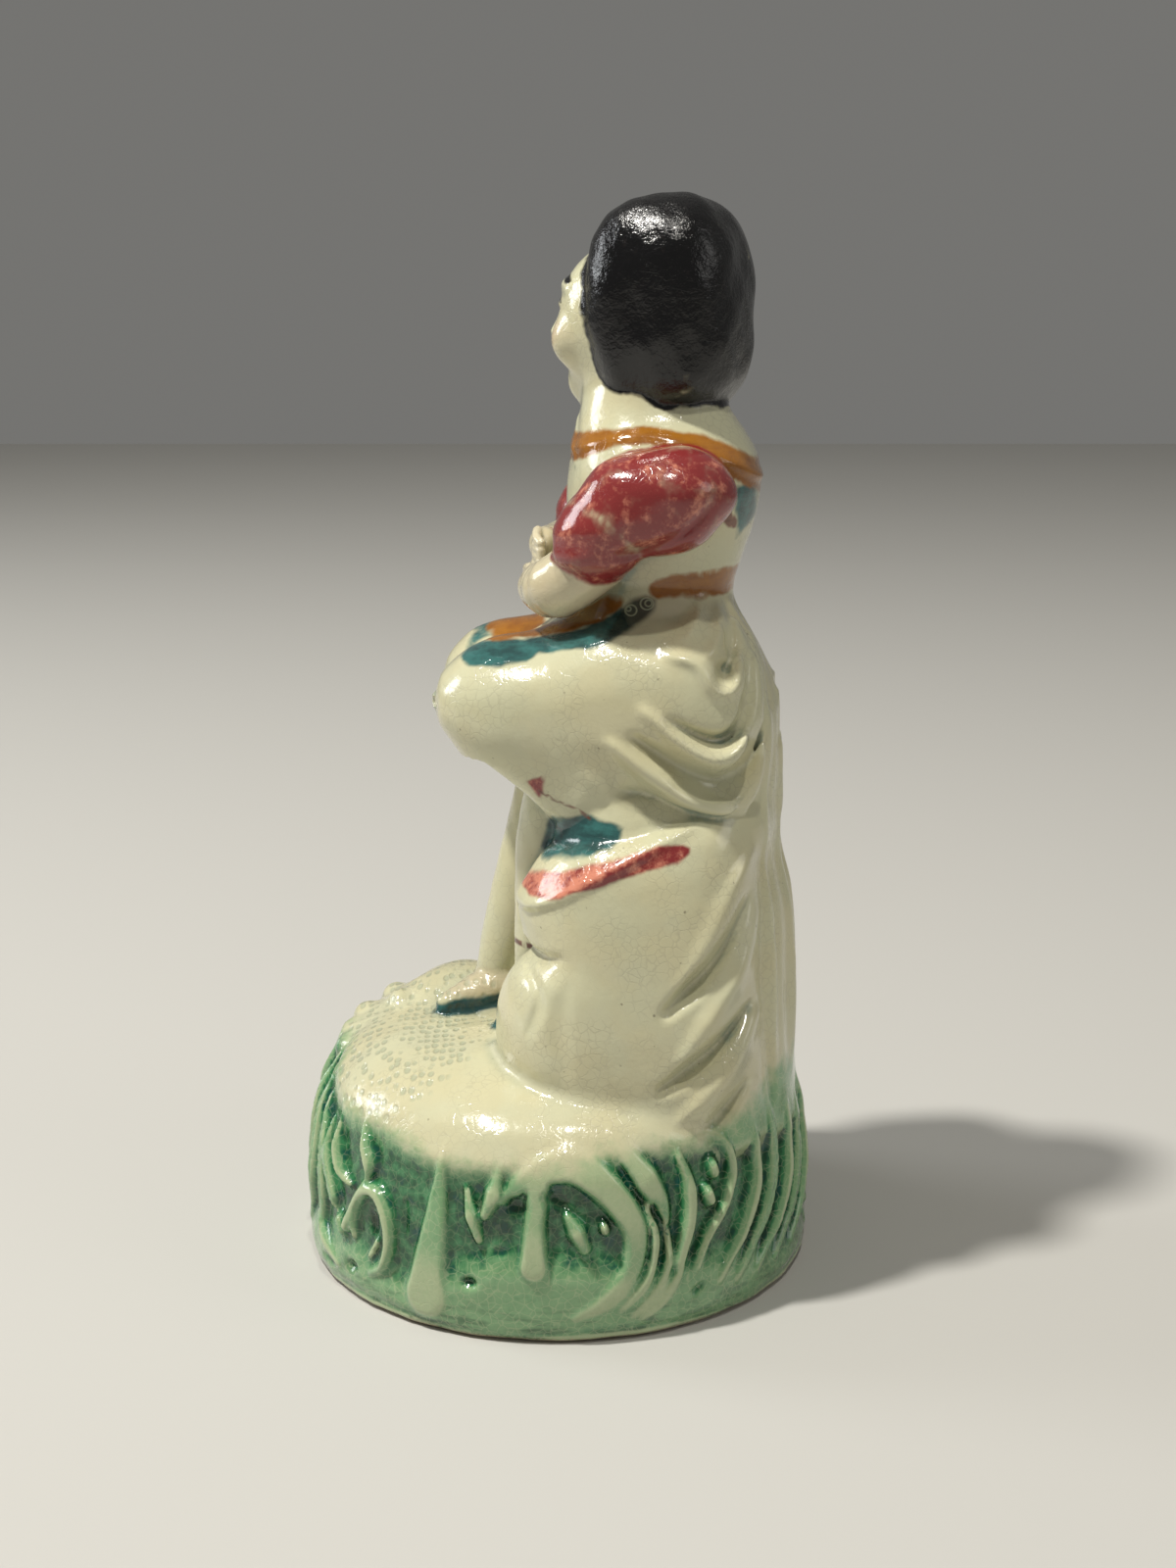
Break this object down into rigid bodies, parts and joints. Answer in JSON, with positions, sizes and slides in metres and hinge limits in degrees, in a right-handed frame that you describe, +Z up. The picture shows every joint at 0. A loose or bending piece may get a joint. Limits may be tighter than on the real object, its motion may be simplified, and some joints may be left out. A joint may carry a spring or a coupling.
{
  "type": "staffordshire figure",
  "caption": "Press-moulded glazed earthenware ornament: a seated girl with bobbed hair, puffed sleeves and a swagged skirt on a leaf-carved mound, standing on its flat underside.",
  "frame": {"origin": "centre of the flat underside, on the surface that the figure stands on", "axes": "+Z up, the girl's lap and feet face -Y and her left side faces +X"},
  "size_m": [0.0726, 0.07, 0.14],
  "materials": {
    "glazed_earthenware": "glossy crazed lead glaze over cream earthenware, painted in enamel colours, green on the mound"
  },
  "bodies": {
    "root": {"seated_girl_on_mound": "glazed_earthenware"}
  },
  "joints": []
}
